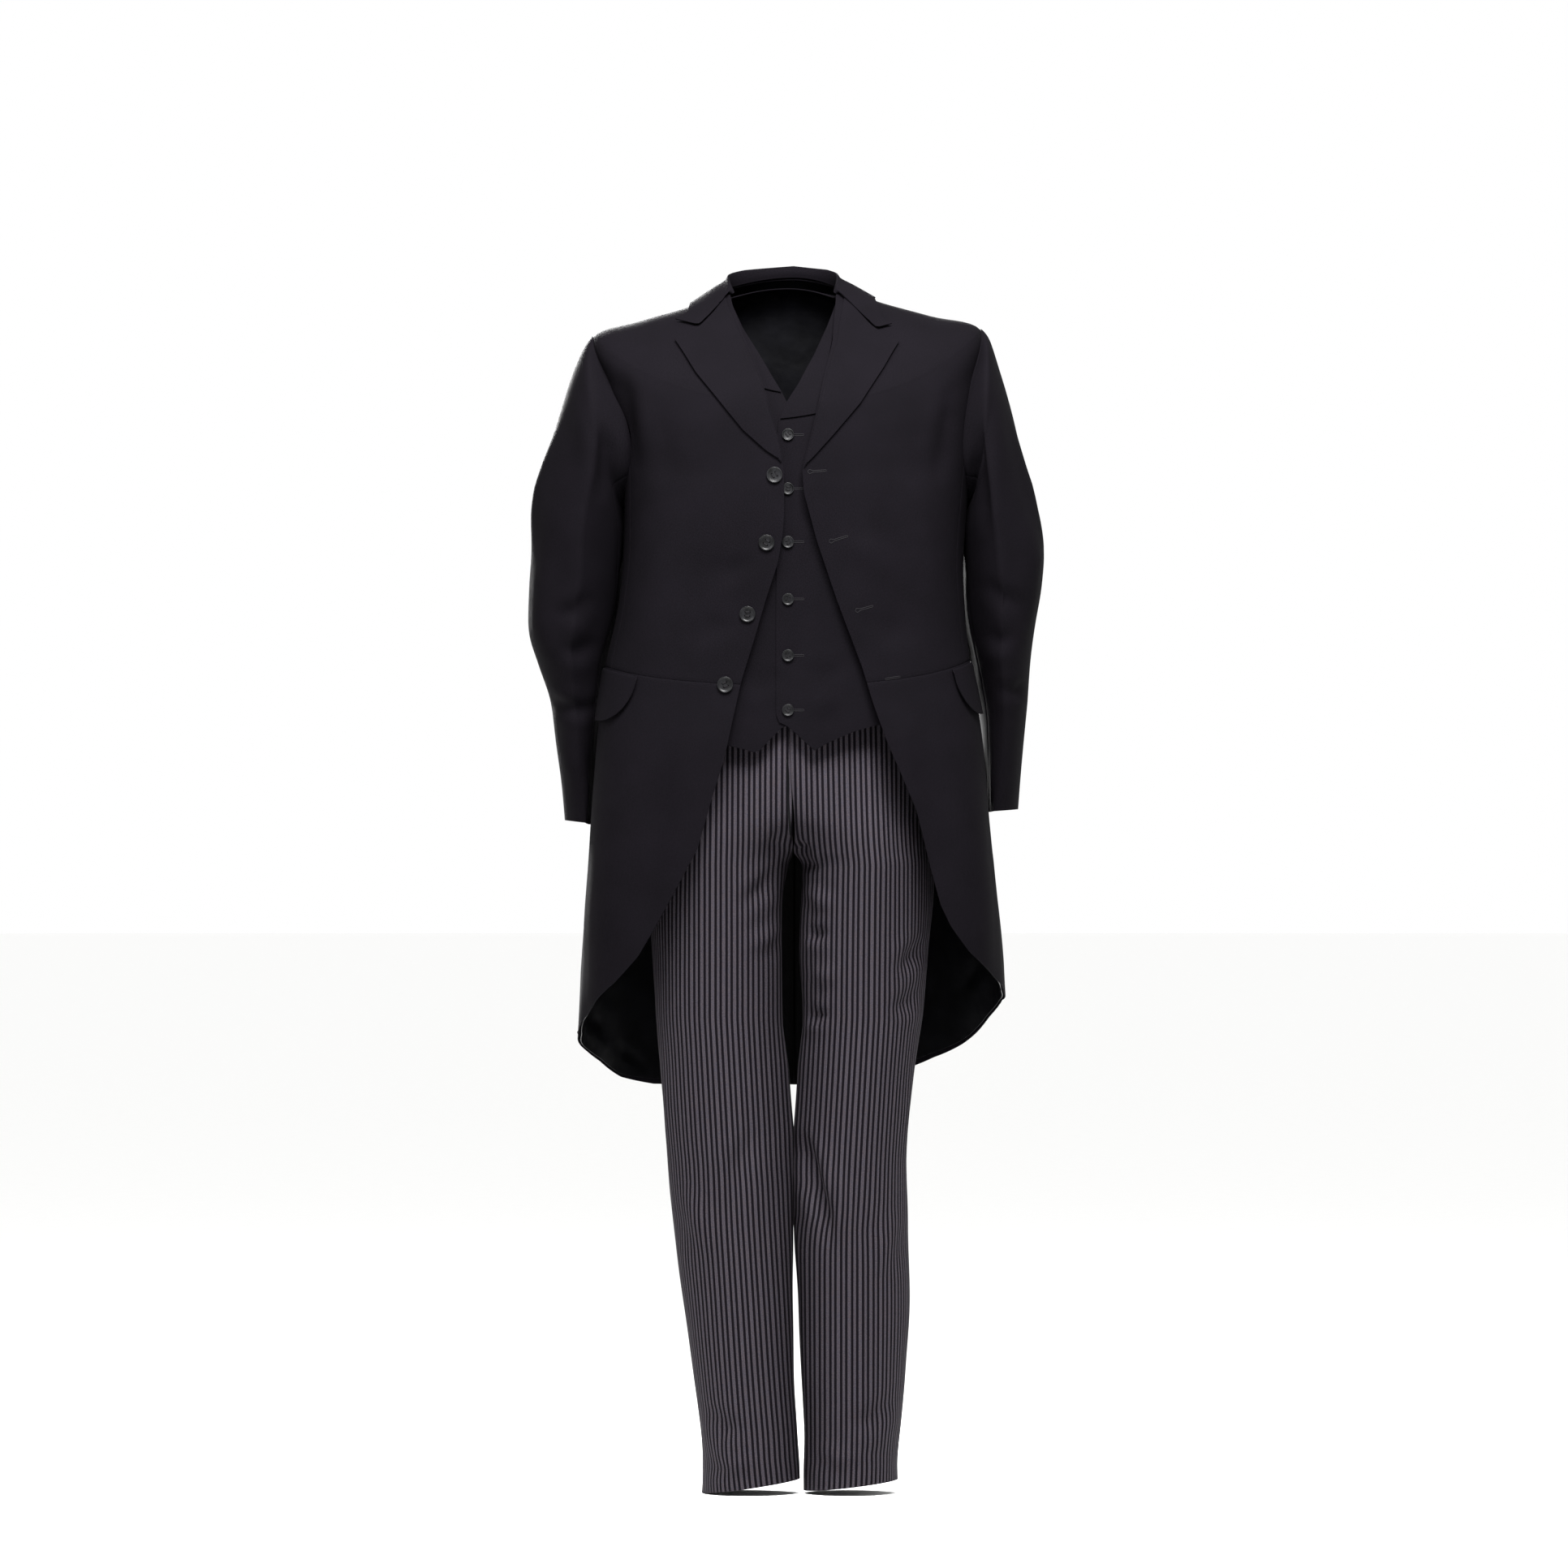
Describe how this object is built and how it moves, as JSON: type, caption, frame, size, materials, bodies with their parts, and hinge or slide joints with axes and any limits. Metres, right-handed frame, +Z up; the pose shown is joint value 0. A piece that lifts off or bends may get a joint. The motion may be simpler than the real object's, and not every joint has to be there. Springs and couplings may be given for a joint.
{
  "type": "three-piece morning suit",
  "caption": "Worn, hollow morning suit: black cutaway coat with tails worn open, matching waistcoat with pointed hem, and grey striped trousers.",
  "frame": {"origin": "middle of the base of the neck, where the wearer's shoulders hold the suit up", "axes": "+Z up, the front faces -Y, +X is the wearer's left"},
  "size_m": [0.6544, 0.296, 1.5614],
  "materials": {
    "coat_wool": "matte fine wool",
    "vest_wool": "matte fine wool",
    "lining_satin": "black satin",
    "trouser_wool": "grey and black striped worsted",
    "button_horn": "dark horn-like plastic"
  },
  "bodies": {
    "root": {"coat_back_button_1": "button_horn", "coat_back_button_2": "button_horn", "coat_back_left": "coat_wool", "coat_back_right": "coat_wool", "coat_button_1": "button_horn", "coat_button_2": "button_horn", "coat_button_3": "button_horn", "coat_button_4": "button_horn", "coat_collar": "coat_wool", "coat_flap_left": "coat_wool", "coat_flap_right": "coat_wool", "coat_front_left": "coat_wool", "coat_front_right": "coat_wool", "coat_lapel_left": "coat_wool", "coat_lapel_right": "coat_wool", "coat_lining_left": "lining_satin", "coat_lining_right": "lining_satin", "coat_side_left": "coat_wool", "coat_side_right": "coat_wool", "coat_skirt_left": "coat_wool", "coat_skirt_right": "coat_wool", "coat_top_sleeve_left": "coat_wool", "coat_top_sleeve_right": "coat_wool", "coat_under_sleeve_left": "coat_wool", "coat_under_sleeve_right": "coat_wool", "trouser_back_left": "trouser_wool", "trouser_back_right": "trouser_wool", "trouser_fly": "trouser_wool", "trouser_front_left": "trouser_wool", "trouser_front_right": "trouser_wool", "trouser_waistband": "trouser_wool", "vest_back": "vest_wool", "vest_button_1": "button_horn", "vest_button_2": "button_horn", "vest_button_3": "button_horn", "vest_button_4": "button_horn", "vest_button_5": "button_horn", "vest_button_6": "button_horn", "vest_front_left": "vest_wool", "vest_front_right": "vest_wool", "vest_lapel_left": "vest_wool", "vest_lapel_right": "vest_wool"}
  },
  "joints": []
}
